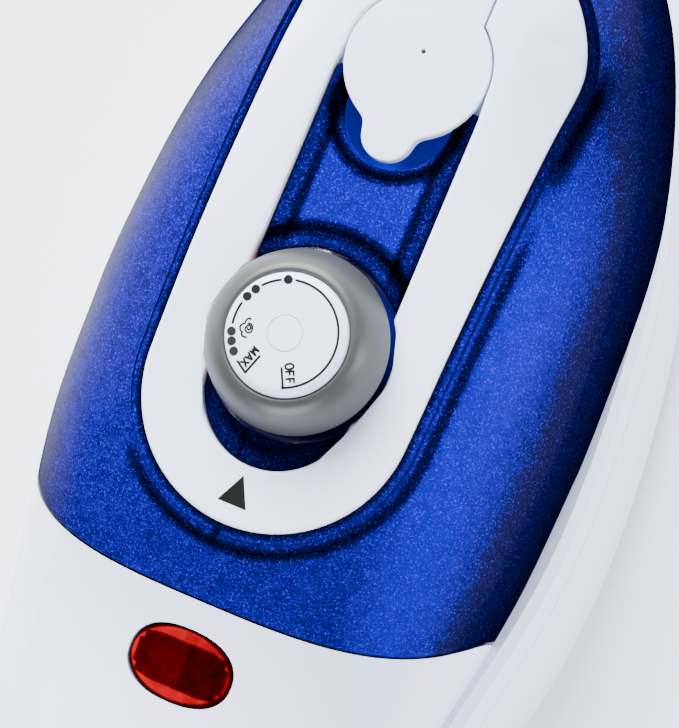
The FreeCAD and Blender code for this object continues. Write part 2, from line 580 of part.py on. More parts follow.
# ---------------------------------------------------------------- check and export
doc.recompute()
for obj in doc.Objects:
    bad = [state for state in obj.State if state in ("Invalid", "Error")]
    if bad:
        print("BAD STATE", obj.Name, obj.Label, obj.State)
for name, obj in NODES.items():
    shape = obj.Shape
    state = "ok" if (not shape.isNull() and shape.isValid() and shape.Volume > 0) else "BAD"
    box_ = shape.BoundBox
    print("%-18s %-4s solids %d volume %9.1f  x %6.1f %6.1f  y %7.1f %6.1f  z %6.1f %5.1f" % (
        name, state, len(shape.Solids), shape.Volume, box_.XMin, box_.XMax, box_.YMin, box_.YMax, box_.ZMin, box_.ZMax))
    shape.exportStep("parts/%s.step" % name)
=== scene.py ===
# %% [markdown]
# # A steam iron, seen close from above
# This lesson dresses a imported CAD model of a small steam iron. The CAD model gives the size, the joints and
# every hidden piece. The cells below add the surfaces that the eye rests on: the grained blue water tank, the
# white console, the lid, the printed dial and the red pilot lens. All lengths are worked out in millimetres and
# turned into metres at the end, because a maker thinks in millimetres.

# %% Load the frame
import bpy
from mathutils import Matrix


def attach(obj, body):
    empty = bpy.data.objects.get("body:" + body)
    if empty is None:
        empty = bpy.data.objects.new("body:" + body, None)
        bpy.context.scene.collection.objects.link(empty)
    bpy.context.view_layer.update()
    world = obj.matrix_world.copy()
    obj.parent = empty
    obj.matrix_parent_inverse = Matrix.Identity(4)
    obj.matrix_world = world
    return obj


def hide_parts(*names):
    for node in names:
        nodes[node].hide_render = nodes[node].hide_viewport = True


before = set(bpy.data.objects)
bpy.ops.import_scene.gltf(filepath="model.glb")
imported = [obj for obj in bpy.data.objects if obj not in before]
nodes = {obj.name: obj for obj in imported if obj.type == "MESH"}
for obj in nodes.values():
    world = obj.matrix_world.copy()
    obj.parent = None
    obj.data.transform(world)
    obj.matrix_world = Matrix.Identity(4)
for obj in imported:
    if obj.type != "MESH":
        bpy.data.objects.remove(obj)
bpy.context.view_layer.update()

import math
import random

import bmesh
import bpy
from mathutils import Matrix, Vector
from mathutils.geometry import delaunay_2d_cdt

# %% [markdown]
# The tank, console and dial stand on a seat that slopes eight degrees down to the tip. It is easier to draw
# them on a level seat and to tip them all together. One matrix does this: it also turns millimetres to metres.

# %% The sloping deck
MM = 0.001
DECK_SLOPE = math.radians(-8)
DECK = Matrix.Translation((0, -2 * MM, 33 * MM)) @ Matrix.Rotation(DECK_SLOPE, 4, "X") @ Matrix.Scale(MM, 4)
print("a point 10 mm up the dial's axis lies at", [round(v, 4) for v in DECK @ Vector((0, 0, 10))])

# %% [markdown]
# Colours are picked as hex values, as they look on a screen. Shaders work with linear light, so one function
# turns each hex value into linear numbers. A second small function adds a shader node, gives it settings and
# joins its inputs, and every material below is made with it.

# %% Colour and node helpers
def linear(hex_colour):
    """sRGB hex to linear red, green, blue and alpha."""
    parts = [int(hex_colour[i:i + 2], 16) / 255 for i in (1, 3, 5)]
    return tuple(p / 12.92 if p <= 0.04045 else ((p + 0.055) / 1.055) ** 2.4 for p in parts) + (1.0,)


def add(tree, kind, settings=None, links=None):
    """One shader node. Settings name properties or input sockets, links join inputs to other outputs."""
    made = tree.nodes.new(kind)
    for name, value in (settings or {}).items():
        if hasattr(made, str(name)):
            setattr(made, name, value)
        else:
            made.inputs[name].default_value = value
    for name, source in (links or {}).items():
        tree.links.new(source, made.inputs[name])
    return made


def new_material(name):
    """An empty node material and its output node."""
    material = bpy.data.materials.new(name)
    material.use_nodes = True
    material.node_tree.nodes.clear()
    return material, material.node_tree, add(material.node_tree, "ShaderNodeOutputMaterial")


def simple(name, colour, roughness, metallic=0.0, coat=0.0, ior=None, bump=None):
    """A plain moulded or metal finish. bump is (grain size in mm, height in mm)."""
    material, tree, out = new_material(name)
    settings = {"Base Color": linear(colour), "Roughness": roughness, "Metallic": metallic, "Coat Weight": coat}
    if ior:
        settings["IOR"] = ior
    shader = add(tree, "ShaderNodeBsdfPrincipled", settings)
    if bump:
        place = add(tree, "ShaderNodeTexCoord")
        grain = add(tree, "ShaderNodeTexNoise", {"Scale": 1 / (bump[0] * MM), "Detail": 3.0},
                    {"Vector": place.outputs["Object"]})
        relief = add(tree, "ShaderNodeBump", {"Strength": 1.0, "Distance": bump[1] * MM},
                     {"Height": grain.outputs["Fac"]})
        tree.links.new(relief.outputs["Normal"], shader.inputs["Normal"])
    tree.links.new(shader.outputs["BSDF"], out.inputs["Surface"])
    return material


# %% [markdown]
# ## White ABS
# The console, lid, body and skirt are injection moulded ABS with a polished mould face. ABS has an index of
# refraction near 1.54, and a polished part shows clear soft-edged lights. A faint long ripple, about 25 mm
# across and a few microns high, keeps the big faces from looking like perfect computer glass.

# %% White ABS
white_abs = simple("white_abs_polished", "#d9e2fb", 0.16, ior=1.54, bump=(25, 0.05))
print("made", white_abs.name)

# %% [markdown]
# ## Blue polycarbonate
# The tank is translucent cobalt polycarbonate. Its mould was spark eroded, which leaves a fine pebbled grain of
# about 0.7 mm that breaks every light into sparks. Seen from outside, the wall looks bright where the space
# behind it is open, and navy where a rib or another wall stands close behind. That light and shade is painted: the
# mesh of the tank carries it as a number on its points, so the finish can follow the ribs exactly, and the grain
# frays the edges of the dark bands the way a rough wall blurs what is behind it. Painted glints in a lighter
# colour are mixed in on the brightest specks of the grain, most where the wall is painted bright.

# %% Blue polycarbonate with a spark eroded grain
def grained_plastic(name, grain_mm, grain_height, roughness, dark, mid, bright, painted_glint_colour, painted_glint_strength):
    material, tree, out = new_material(name)
    place = add(tree, "ShaderNodeTexCoord")
    warp = add(tree, "ShaderNodeTexNoise", {"Scale": 1 / (2.2 * MM), "Detail": 2.0},
               {"Vector": place.outputs["Object"]})
    pebble = add(tree, "ShaderNodeTexNoise", {"Scale": 1 / (grain_mm * MM), "Detail": 2.5, "Roughness": 0.6},
                 {"Vector": place.outputs["Object"]})
    cells = add(tree, "ShaderNodeTexVoronoi", {"feature": "SMOOTH_F1", "Scale": 1 / (1.4 * grain_mm * MM)},
                {"Vector": place.outputs["Object"]})
    height = add(tree, "ShaderNodeMath", {"operation": "ADD"},
                 {0: pebble.outputs["Fac"], 1: cells.outputs["Distance"]})
    relief = add(tree, "ShaderNodeBump", {"Strength": 1.0, "Distance": grain_height * MM},
                 {"Height": height.outputs["Value"]})
    # painted light and shade, read from the number on the mesh's points
    painted_light = add(tree, "ShaderNodeAttribute", {"attribute_name": "painted_light"})
    fray = add(tree, "ShaderNodeMath", {"operation": "MULTIPLY_ADD", 1: 0.5, 2: -0.25},
               {0: pebble.outputs["Fac"]})
    frayed = add(tree, "ShaderNodeMath", {"operation": "ADD"}, {0: painted_light.outputs["Fac"], 1: fray.outputs["Value"]})
    soft = add(tree, "ShaderNodeMath", {"operation": "MULTIPLY_ADD", 1: 0.24, 2: -0.12},
               {0: warp.outputs["Fac"]})
    level = add(tree, "ShaderNodeMath", {"operation": "ADD", "use_clamp": True},
                {0: frayed.outputs["Value"], 1: soft.outputs["Value"]})
    ramp = add(tree, "ShaderNodeValToRGB", links={"Fac": level.outputs["Value"]})
    stops = ramp.color_ramp.elements
    stops[0].position, stops[0].color = 0.0, linear(dark)
    stops[1].position, stops[1].color = 1.0, linear(bright)
    stops.new(0.5).color = linear(mid)
    # painted glints: the colour turns towards the glint colour on the brightest specks of the grain
    spark = add(tree, "ShaderNodeMapRange", {"From Min": 0.56, "From Max": 0.74, "To Min": 0.0, "To Max": painted_glint_strength},
                {"Value": pebble.outputs["Fac"]})
    painted_glint = add(tree, "ShaderNodeMath", {"operation": "MULTIPLY"},
              {0: spark.outputs["Result"], 1: painted_light.outputs["Fac"]})
    colour = add(tree, "ShaderNodeMixRGB", {"Color2": linear(painted_glint_colour)},
                 {"Fac": painted_glint.outputs["Value"], "Color1": ramp.outputs["Color"]})
    gloss = add(tree, "ShaderNodeMath", {"operation": "MULTIPLY", 1: 0.13}, {0: painted_light.outputs["Fac"]})
    shader = add(tree, "ShaderNodeBsdfPrincipled",
                 {"Roughness": roughness, "IOR": 1.58, "Specular Tint": linear(bright)},
                 {"Base Color": colour.outputs["Color"], "Normal": relief.outputs["Normal"],
                  "Specular IOR Level": gloss.outputs["Value"]})
    matt = add(tree, "ShaderNodeBsdfDiffuse", links={"Color": colour.outputs["Color"]})
    open_wall = add(tree, "ShaderNodeMapRange", {"From Min": 0.3, "From Max": 0.62, "To Max": 0.45},
                    {"Value": painted_light.outputs["Fac"]})
    both = add(tree, "ShaderNodeMixShader", links={0: open_wall.outputs["Result"], 1: matt.outputs["BSDF"],
                                                   2: shader.outputs["BSDF"]})
    tree.links.new(both.outputs["Shader"], out.inputs["Surface"])
    return material


# the last two values are the painted glint colour and its strength
blue_grained = grained_plastic("blue_polycarbonate_spark_eroded", 0.34, 0.026, 0.22, "#010104", "#050330", "#120aa0",
                               "#4a44e8", 0.6)
red_clear = grained_plastic("red_polycarbonate_clear", 2.5, 0.0, 0.07, "#050101", "#3a0205", "#9a0410",
                            "#9a0410", 0.0)
blue_smooth = simple("blue_polycarbonate_polished", "#140f98", 0.08, ior=1.58)
# a brighter copy of the polished blue: painted light through the thin wall of the finger well
blue_painted_light = simple("blue_polycarbonate_painted_light", "#2a2cff", 0.08, ior=1.58)
# a darker copy of the polished blue: painted shade in the recess under the dial
blue_painted_shade = simple("blue_polycarbonate_painted_shade", "#0b0a5c", 0.1, ior=1.58)
print("made", blue_grained.name, blue_smooth.name, blue_painted_shade.name)

# %% [markdown]
# ## The other finishes
# Dial grip: grey polypropylene with a fine matt grain. Print: black ink, a little grey where the ink is thin.
# Lens: clear red polycarbonate. Sole: cast aluminium with a ground face. Each starts from typical values.

# %% Other finishes
grey_pp = simple("grey_polypropylene_matt", "#303231", 0.45, ior=1.49, bump=(0.35, 0.012))
black_ink = simple("black_pad_print", "#010101", 0.3)
dark_grey_ink = simple("dark_grey_pad_print", "#060607", 0.3)
grey_ink = simple("grey_pad_print", "#1a1617", 0.3)
red_acetal = simple("red_acetal_moulded", "#cf2a20", 0.3, ior=1.48)
soft_touch = simple("grey_soft_touch_elastomer", "#5a5d62", 0.62, bump=(0.5, 0.02))
black_abs = simple("black_abs_satin", "#1b1c1f", 0.35, ior=1.54, bump=(0.4, 0.01))
black_rubber = simple("black_moulded_rubber", "#161617", 0.6, bump=(0.6, 0.02))
cast_aluminium = simple("cast_aluminium_ground", "#c9cacc", 0.32, metallic=1.0, bump=(0.8, 0.004))
bright_steel = simple("bright_steel", "#b9babd", 0.25, metallic=1.0)
turned_brass = simple("turned_brass", "#c9a45c", 0.3, metallic=1.0)
phenolic = simple("dark_phenolic_moulding", "#1d1d20", 0.55)
silicone = simple("red_silicone_rubber", "#c2543f", 0.5)
steatite = simple("unglazed_steatite", "#dcd6c8", 0.7)
bulb_glass = simple("neon_bulb_glass", "#d8734c", 0.1)

finish_of = {
    "tank_floor": white_abs, "tank_seal": silicone, "drip_valve": turned_brass, "lid_hinge_pin": bright_steel,
    "lid_plug": silicone, "dial_spindle": phenolic, "dial_stop_segment": red_acetal, "upper_body": white_abs,
    "lower_handle": soft_touch, "lower_skirt": white_abs, "heat_shield": phenolic, "soleplate": cast_aluminium,
    "heating_element": bright_steel, "steam_cover": cast_aluminium, "steam_gasket": silicone,
    "thermostat_wedge": cast_aluminium, "thermostat": steatite, "thermal_fuse": steatite,
    "lamp_holder": phenolic, "neon_lamp": bulb_glass, "steam_trigger": black_abs, "pump_piston": phenolic,
    "pump_cylinder": phenolic, "trigger_spring": bright_steel, "pump_hose": silicone, "cord_gland": black_rubber,
    "terminal_block": steatite, "handle_screws": bright_steel, "cover_screws": bright_steel,
    "water_tank": blue_smooth, "console_ring": white_abs, "pointer_mark": black_ink, "filler_lid": white_abs,
    "dial_grip": grey_pp, "dial_face": white_abs, "dial_cap": white_abs, "indicator_lens": red_acetal}
for name, finish in finish_of.items():
    nodes[name].data.materials.clear()
    nodes[name].data.materials.append(finish)
print("finishes set on", len(finish_of), "CAD pieces")

# %% [markdown]
# ## Building meshes
# Every new piece is drawn from points in deck millimetres. One function turns points and faces into an object
# that is tipped onto the deck, smooth shaded, and bound to the CAD body that it moves with.

# %% Mesh helper
def piece(name, points, faces, finish, body, painted_light=None, smooth_angle=32):
    mesh = bpy.data.meshes.new(name)
    mesh.from_pydata([DECK @ Vector(p) for p in points], [], faces)
    # painted light and shade, stored on the points for the finish
    if painted_light is not None:
        layer = mesh.attributes.new("painted_light", "FLOAT", "POINT")
        layer.data.foreach_set("value", painted_light)
    work = bmesh.new()
    work.from_mesh(mesh)
    bmesh.ops.recalc_face_normals(work, faces=work.faces)
    work.to_mesh(mesh)
    work.free()
    mesh.materials.append(finish)
    made = bpy.data.objects.new(name, mesh)
    bpy.context.scene.collection.objects.link(made)
    for polygon in mesh.polygons:
        polygon.use_smooth = True
    mesh.set_sharp_from_angle(angle=math.radians(smooth_angle))
    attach(made, body)
    return made


def turned(name, profile, finish, body, centre=(0, 0), steps=96, smooth_angle=32):
    """A closed profile of (radius, height) points turned about an upright axis. A radius of 0 ends a profile."""
    points, faces, rings = [], [], []
    for radius, height in profile:
        if radius < 1e-6:
            rings.append([len(points)])
            points.append((centre[0], centre[1], height))
            continue
        rings.append(list(range(len(points), len(points) + steps)))
        for i in range(steps):
            turn = 2 * math.pi * i / steps
            points.append((centre[0] + radius * math.cos(turn), centre[1] + radius * math.sin(turn), height))
    loop = rings[0] != rings[-1] and len(rings[0]) > 1 and len(rings[-1]) > 1
    for a, b in zip(rings, rings[1:] + (rings[:1] if loop else [])):
        for i in range(steps):
            j = (i + 1) % steps
            if len(a) == 1 and len(b) == 1:
                continue
            if len(a) == 1:
                faces.append((a[0], b[i], b[j]))
            elif len(b) == 1:
                faces.append((a[i], a[j], b[0]))
            else:
                faces.append((a[i], a[j], b[j], b[i]))
    return piece(name, points, faces, finish, body, smooth_angle=smooth_angle)


def arc(cx, cy, radius, start, end, steps):
    """Points on an arc, from one angle in degrees to another."""
    return [(cx + radius * math.cos(math.radians(start + (end - start) * i / steps)),
             cy + radius * math.sin(math.radians(start + (end - start) * i / steps))) for i in range(steps + 1)]


# %% [markdown]
# ## The hull of the tank
# The tank is part of one long hull. Cut across, the hull is a superellipse: flatter than an ellipse at the top
# and steeper at the sides. Two formulas give its half width and its crown along the iron, from the round heel of
# the tank to the tip.

# %% Hull formulas
HULL_HALF, HULL_TIP, HULL_CROWN = 43.0, 100.0, 42.0
REAR_ROWS = [(-20, 42.2, 41.0), (-31, 41.0, 37.6), (-43, 39.0, 31.6), (-56, 36.6, 27.4), (-72, 32.8, 26.0)]


def ramp(value, low, high):
    """0 below low, 1 above high, and a smooth rise between."""
    t = min(1.0, max(0.0, (value - low) / (high - low)))
    return t * t * (3 - 2 * t)


def hull_half(y):
    if y >= 0:
        fuller = 1.6 * ramp(y, 10, 45) * (1 - ramp(y, 70, 98))
        return HULL_HALF * max(0.0, 1 - (y / HULL_TIP) ** 2.2) ** 0.625 + fuller
    return spline_through([(0, HULL_HALF)] + [(r[0], r[1]) for r in REAR_ROWS], y)


def hull_crown(y):
    if y >= 0:
        return 8 + (HULL_CROWN - 8) * max(0.0, 1 - (y / (HULL_TIP + 0.5)) ** 4) ** 0.5
    return spline_through([(16, 41.99), (0, HULL_CROWN)] + [(r[0], r[2]) for r in REAR_ROWS], y)


def spline_through(rows, y):
    """Smooth curve through falling y values (Catmull-Rom on uneven steps)."""
    for i in range(len(rows) - 1):
        y0, y1 = rows[i][0], rows[i + 1][0]
        if y1 <= y <= y0:
            before, after = rows[max(i - 1, 0)], rows[min(i + 2, len(rows) - 1)]
            t = (y - y0) / (y1 - y0)
            m0 = (rows[i + 1][1] - before[1]) / (y1 - before[0]) * (y1 - y0)
            m1 = (after[1] - rows[i][1]) / (after[0] - y0) * (y1 - y0)
            h = (2 * t ** 3 - 3 * t ** 2 + 1, t ** 3 - 2 * t ** 2 + t, -2 * t ** 3 + 3 * t ** 2, t ** 3 - t ** 2)
            return h[0] * rows[i][1] + h[1] * m0 + h[2] * rows[i + 1][1] + h[3] * m1
    return rows[-1][1]


def hull_height(x, y):
    half = hull_half(y)
    share = min(1.0, abs(x) / half) if half > 0.01 else 1.0
    power = 2.35 - 0.6 * ramp(y, 5, 55)
    return hull_crown(y) * (1 - share ** power) ** (1 / power)


print("hull is", round(2 * hull_half(0), 1), "mm wide and", round(hull_crown(0), 1), "mm high at the dial")

# %% [markdown]
# ## The skin of the tank
# The visible skin starts at the console's edge and ends at the seat, or at the seam to the white body at the
# back. Lines are drawn outwards from the console's outline and each line is cut into equal steps, so the rows of
# the mesh follow the console exactly and the highlights run smoothly round it. The skin meets the console just
# below its edge everywhere.

# %% Outlines of console and tank
CONSOLE_TOP, CONSOLE_THICK = 37.5, 3.0
CONSOLE_HALF, REAR_Y = 22.5, -8.5
CHANNEL_HALF, CHANNEL_REAR_Y, DIAL_HOLE = 12.65, -8.3, 15.5
WELL_Y, WELL_R, WELL_FLOOR = 40.0, 9.2, 26.0
TANK_HALF, TANK_DEPTH, TANK_CORNER, CORNER_POWER = 43.4, 28.5, -15.0, 3.2
NOSE_Y, NOSE_LONG, NOSE_HALF = 54.0, 22.5, 24.1
# (distance along the iron, how far the console's edge has dropped there), from the tip to the rear
EDGE_DROP = [(76.5, 11.0), (62, 10.6), (54, 9.25), (46, 6.25), (38, 4.25), (30, 2.75), (20, 1.2), (5, 0.0),
             (-40, 0.0)]
FLAT_HALF, FLAT_LOSS, SHOULDER_CURVE, TIP_DIP = 13.2, 11.0, 1.6, 3.0


def console_side(y):
    """Half width of the console between its rear end and its nose."""
    return CONSOLE_HALF + (NOSE_HALF - CONSOLE_HALF) * min(1.0, max(0.0, (y - REAR_Y) / (NOSE_Y - REAR_Y))) ** 0.8


def console_sink(x, y):
    """How far the console has dropped below its flat middle: its shoulders follow the hull down to the tip."""
    wide = console_side(y) if y < NOSE_Y else NOSE_HALF
    flat_half = FLAT_HALF - FLAT_LOSS * ramp(y, 60, 76)
    share = min(1.0, max(0.0, (abs(x) - flat_half) / (wide - flat_half)))
    drop = spline_through(EDGE_DROP, min(EDGE_DROP[0][0], max(EDGE_DROP[-1][0], y)))
    return max(0.0, drop) * share ** SHOULDER_CURVE + TIP_DIP * ramp(y, 71.5, 77.5)


def console_right():
    """Points and outward directions down the right side, from the front of the nose to the middle of the rear."""
    rows = []
    for i in range(90):
        a = math.radians(90 - i)
        x, y = NOSE_HALF * math.cos(a), NOSE_Y + NOSE_LONG * math.sin(a)
        rows.append((x, y, math.atan2(math.sin(a) / NOSE_LONG, math.cos(a) / NOSE_HALF)))
    for i in range(90):
        y = NOSE_Y - (NOSE_Y - REAR_Y) * i / 90
        rows.append((console_side(y), y, 0.0))
    for i in range(81):
        a = -math.pi / 2 * i / 80
        rows.append((CONSOLE_HALF * math.cos(a), REAR_Y + CONSOLE_HALF * math.sin(a), a))
    return rows


def tank_inside(x, y):
    if y <= TANK_CORNER and (abs(x) / TANK_HALF) ** CORNER_POWER + (
            (TANK_CORNER - y) / TANK_DEPTH) ** CORNER_POWER > 1:
        return False
    return abs(x) < hull_half(y)


right = console_right()
outline = right + [(-x, y, math.pi - a) for x, y, a in reversed(right[1:-1])]
print("console outline has", len(outline), "lines")

# %% [markdown]
# The number on each point of the skin is painted light and shade, standing in for how open the space behind the
# wall is: 1 is bright and 0 is navy. Painted shade falls towards the seat, where the side walls stand, right beside
# the console's edge, along a stiffening rib that runs three millimetres outside the console and round its rear end,
# at a short web at the rear, and in a crescent beside the console's nose where the filler's wall stands close
# behind. A painted patch of light brightens the open right side.
# True transmission through water and ribs would show the same bands, but it renders slowly and with more noise, so
# the pattern is worked out once for each point of the mesh.

# %% How the light comes through the tank
def band(value, middle, width):
    """1 in the middle of a band, falling smoothly to 0 at its edges."""
    t = max(0.0, 1 - abs(value - middle) / width)
    return t * t * (3 - 2 * t)


def console_gap(x, y):
    """Distance outside the console, in mm."""
    if y > NOSE_Y:
        return (math.hypot(x / NOSE_HALF, (y - NOSE_Y) / NOSE_LONG) - 1) * NOSE_HALF
    if y < REAR_Y:
        return math.hypot(x, y - REAR_Y) - CONSOLE_HALF
    return abs(x) - console_side(y)


PAINTED_LIGHT_OVER_WATER, SIDE_SHADE_TOP = 0.62, 31.0
RIB_GAP, RIB_WIDTH = 3.3, 1.3
CRESCENT_GAP, CRESCENT_WIDTH = 2.6, 2.2


def tank_painted_light(x, y, z):
    """The painted light and shade of one point of the skin."""
    gap = console_gap(x, y)
    # painted shade: darker lower down the sides, towards the seat
    bright = PAINTED_LIGHT_OVER_WATER * (0.1 + 0.9 * ramp(z, 0.5, SIDE_SHADE_TOP))
    # painted shade where the skin meets the seat of the console
    bright -= 0.42 * (1 - ramp(gap, 0.2, 1.2))
    # painted shade of the rib behind the wall, which on the left starts only at the rear
    rib = band(gap, RIB_GAP, RIB_WIDTH) * (1 - ramp(y, 22, 34))
    if x < 0:
        rib *= ramp(math.degrees(math.atan2(-(y - REAR_Y), -x)), 38, 50)
    bright -= 0.55 * rib
    # painted shade of a short web that joins the rib to the console at the rear
    bright -= 0.5 * band(x + 0.8, 0, 0.8) * band(gap, 1.6, 2.0) * ramp(-y, 20, 30)
    # painted shade of the filler's wall, which stands close behind
    crescent = band(x - console_side(y), CRESCENT_GAP, CRESCENT_WIDTH)
    bright -= 0.62 * crescent * ramp(y, 36, 44) * (1 - ramp(y, 54, 62))
    # painted light: more light comes through the open right side
    bright += 0.22 * ramp(x, 20, 30) * (1 - ramp(x, 33, 40)) * (1 - ramp(y, 20, 60))
    return min(1.0, max(0.0, bright))


# %% [markdown]
# The skin could be one surface cut with a boolean, but its triangles would then be uneven beside the console and
# would show in the gloss. Rows of points drawn outwards give even faces. A search by halves finds where each row
# meets the seat or the seam, and the last points turn down so that the seam shows as a dark line.

# %% Build the skin
STEPS, HALVINGS, FAR_OUT = 46, 40, 90.0
SKIN_START, SKIN_UNDER, LEAST_HEIGHT = 0.22, 0.35, 0.06
skin_points, skin_painted_light = [], []
for x0, y0, angle in outline:
    dx, dy = math.cos(angle), math.sin(angle)
    x0, y0 = x0 + SKIN_START * dx, y0 + SKIN_START * dy
    low, high = 0.0, FAR_OUT
    for _ in range(HALVINGS):
        middle = (low + high) / 2
        if tank_inside(x0 + dx * middle, y0 + dy * middle):
            low = middle
        else:
            high = middle
    reach = low
    column = []
    for k in range(STEPS):
        share = k / (STEPS - 1)
        share = 0.5 * share + 0.5 * (1 - (1 - share) ** 2.2) if share < 1 else 1.0
        x, y = x0 + dx * reach * share, y0 + dy * reach * share
        lift = CONSOLE_TOP - SKIN_UNDER - console_sink(x0, y0) - hull_height(x0, y0)
        z = hull_height(x, y) + lift * (1 - share) ** (2.4 if lift < 0 else 1.6)
        column.append((x, y, max(z, LEAST_HEIGHT)))
    x, y, z = column[-1]
    if z > 1.2:
        column[-1] = (x - 0.25 * dx, y - 0.25 * dy, z - 0.02)
        column += [(x - 0.04 * dx, y - 0.04 * dy, z - 0.3), (x, y, z - 0.9), (x, y, z - 2.6)]
    else:
        column += [(x, y, 0.05), (x, y, 0.04), (x, y, 0.03)]
    first = column[0]
    column = [(first[0] - 0.02 * dx, first[1] - 0.02 * dy, first[2] - 2.4),
              (first[0] - 0.02 * dx, first[1] - 0.02 * dy, first[2] - 0.4)] + column
    # each point keeps its painted light and shade
    for p in column:
        skin_points.append(p)
        skin_painted_light.append(tank_painted_light(*p))
columns = STEPS + 5
skin_faces = []
for r in range(len(outline)):
    s = (r + 1) % len(outline)
    for c in range(columns - 1):
        skin_faces.append((r * columns + c, s * columns + c, s * columns + c + 1, r * columns + c + 1))
skin = piece("tank_skin", skin_points, skin_faces, blue_grained, "body", skin_painted_light, 50)
wall = skin.modifiers.new("wall", "SOLIDIFY")
wall.thickness, wall.offset = 1.6 * MM, -1.0
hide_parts("water_tank")
print("tank skin:", len(skin_points), "points")

# %% [markdown]
# ## The floor of the channel
# Inside the console the tank shows as a flat grained floor, 1.3 mm below the console. It is a flat sheet with
# curved edges, so it is cut out with a constrained triangulation: the outline is kept exactly and a regular grid
# of points inside it carries painted light and shade: painted shade near the ribs below, round the dial and the
# finger well and at the console's right edge, and a darker floor behind the dial.

# %% Channel floor
FLOOR_Z, FLOOR_HALF = 36.2, 12.4
DIAL_WELL = DIAL_HOLE + 0.3


# painted light and shade of the channel floor: dark bands over the ribs and the walls of the dial recess and the
# finger well, painted shade close round the dial and at the right edge, a darker rear floor
def channel_painted_light(x, y):
    bright = 0.74 if y > 0 else 0.42
    from_dial, from_well = math.hypot(x, y), math.hypot(x, y - WELL_Y)
    bright -= 0.62 * band(abs(x), 9.3, 1.15) * ramp(y, 12, 17)
    bright -= 0.2 * ramp(abs(x), 9.4, 10.6) + 0.3 * ramp(x, 11.5, 11.9)
    if y > 0:
        bright -= 0.7 * band(from_dial, 18.9, 2.0)
        bright -= 0.25 * (1 - ramp(from_dial, 16, 18.5))
        bright -= 0.72 * band(from_well, 10.6, 1.7)
    else:
        bright -= 0.3 * band(math.hypot(x, y - CHANNEL_REAR_Y), 9.2, 1.4)
        bright -= 0.4 * band(x + 2.6, 0, 0.5)
    return min(1.0, max(0.0, bright))


def inside_loop(p, loop, margin):
    """True for a point inside a closed outline and at least a margin away from its corners."""
    inside = False
    for a, b in zip(loop, loop[1:] + loop[:1]):
        if (p.x - a[0]) ** 2 + (p.y - a[1]) ** 2 < margin ** 2:
            return False
        if (a[1] > p.y) != (b[1] > p.y) and p.x < a[0] + (b[0] - a[0]) * (p.y - a[1]) / (b[1] - a[1]):
            inside = not inside
    return inside


def near_loop(p, loop, margin):
    return any((p.x - a[0]) ** 2 + (p.y - a[1]) ** 2 < margin ** 2 for a in loop)


def cut_sheet(name, loop, step, top, drop, finish, painted_light_at=None, edge=0.35):
    """A flat sheet inside a closed outline, with a rounded edge and a wall that goes down by drop."""
    random.seed(7)
    xs, ys = [p[0] for p in loop], [p[1] for p in loop]
    inner = []
    x = min(xs) + step / 2
    while x < max(xs):
        y = min(ys) + step / 2
        while y < max(ys):
            jitter = 0.2 * step
            inner.append(Vector((x + random.uniform(-jitter, jitter), y + random.uniform(-jitter, jitter))))
            y += step
        x += step
    count = len(loop)
    border = [(i, (i + 1) % count) for i in range(count)]
    inner = [p for p in inner if inside_loop(p, loop, 0.3 * step)]
    flat, _, triangles, _, _, _ = delaunay_2d_cdt([Vector(p) for p in loop] + inner, border, [], 1, 1e-6)
    points = [(p.x, p.y, top) for p in flat]
    faces = [tuple(t) for t in triangles]
    area = sum(loop[i][0] * loop[(i + 1) % count][1] - loop[(i + 1) % count][0] * loop[i][1] for i in range(count))
    turn = 1 if area > 0 else -1
    rings = [[i for i in range(count)]]
    for out, fall in ((0.38 * edge, 0.08 * edge), (0.7 * edge, 0.3 * edge), (0.92 * edge, 0.62 * edge),
                      (edge, edge), (edge, drop)):
        ring = []
        for i in range(count):
            a, b = Vector(loop[i - 1]), Vector(loop[(i + 1) % count])
            along = (b - a).normalized()
            normal = Vector((along.y, -along.x)) * turn
            ring.append(len(points))
            points.append((loop[i][0] + normal.x * out, loop[i][1] + normal.y * out, top - fall))
        rings.append(ring)
    for a, b in zip(rings, rings[1:]):
        for i in range(count):
            j = (i + 1) % count
            faces.append((a[i], a[j], b[j], b[i]))
    # painted light and shade of each point, when a function for it is given
    painted_light = [painted_light_at(p[0], p[1]) for p in points] if painted_light_at else None
    return piece(name, points, faces, finish, "body", painted_light, 40)


def crossing(half, centre_y, radius):
    """Height on a circle about the axis where it meets an upright line."""
    return centre_y + math.sqrt(radius ** 2 - half ** 2)


inset = FLOOR_HALF - 0.35
dial_edge = DIAL_WELL + 0.35
start = math.degrees(math.asin(inset / dial_edge))
front_loop = arc(0, 0, dial_edge, 90 + start, 90 - start, 40)
side_step = 1.0
y_side, y_front = crossing(inset, 0, dial_edge), 44.0
front_loop += [(inset, y_side + side_step * i) for i in range(1, int((y_front - y_side) / side_step))]
front_loop += [(inset, y_front)]
well_edge = WELL_R + 0.35
well_angle = math.degrees(math.asin(4.0 / well_edge))
front_loop += [(well_edge * math.cos(math.radians(well_angle)), y_front)]
front_loop += arc(0, WELL_Y, well_edge, well_angle - 6, -180 - well_angle + 6, 60)
front_loop += [(-well_edge * math.cos(math.radians(well_angle)), y_front), (-inset, y_front)]
front_loop += [(-inset, y_front - side_step * i) for i in range(1, int((y_front - y_side) / side_step))]
channel_floor = cut_sheet("tank_channel_floor", front_loop, 0.55, FLOOR_Z, 4.0, blue_grained, channel_painted_light)

meet_y = -(dial_edge ** 2 - inset ** 2 + CHANNEL_REAR_Y ** 2) / (2 * -CHANNEL_REAR_Y)
meet_dial = math.degrees(math.asin(-meet_y / dial_edge))
meet_rear = math.degrees(math.asin((meet_y - CHANNEL_REAR_Y) / inset))
rear_loop = arc(0, CHANNEL_REAR_Y, inset, meet_rear, -180 - meet_rear, 50)
rear_loop += arc(0, 0, dial_edge, -180 + meet_dial, -meet_dial, 40)[1:-1]
rear_floor = cut_sheet("tank_rear_floor", rear_loop, 0.5, FLOOR_Z, 4.0, blue_grained, channel_painted_light)
print("channel floor points:", len(channel_floor.data.vertices), len(rear_floor.data.vertices))
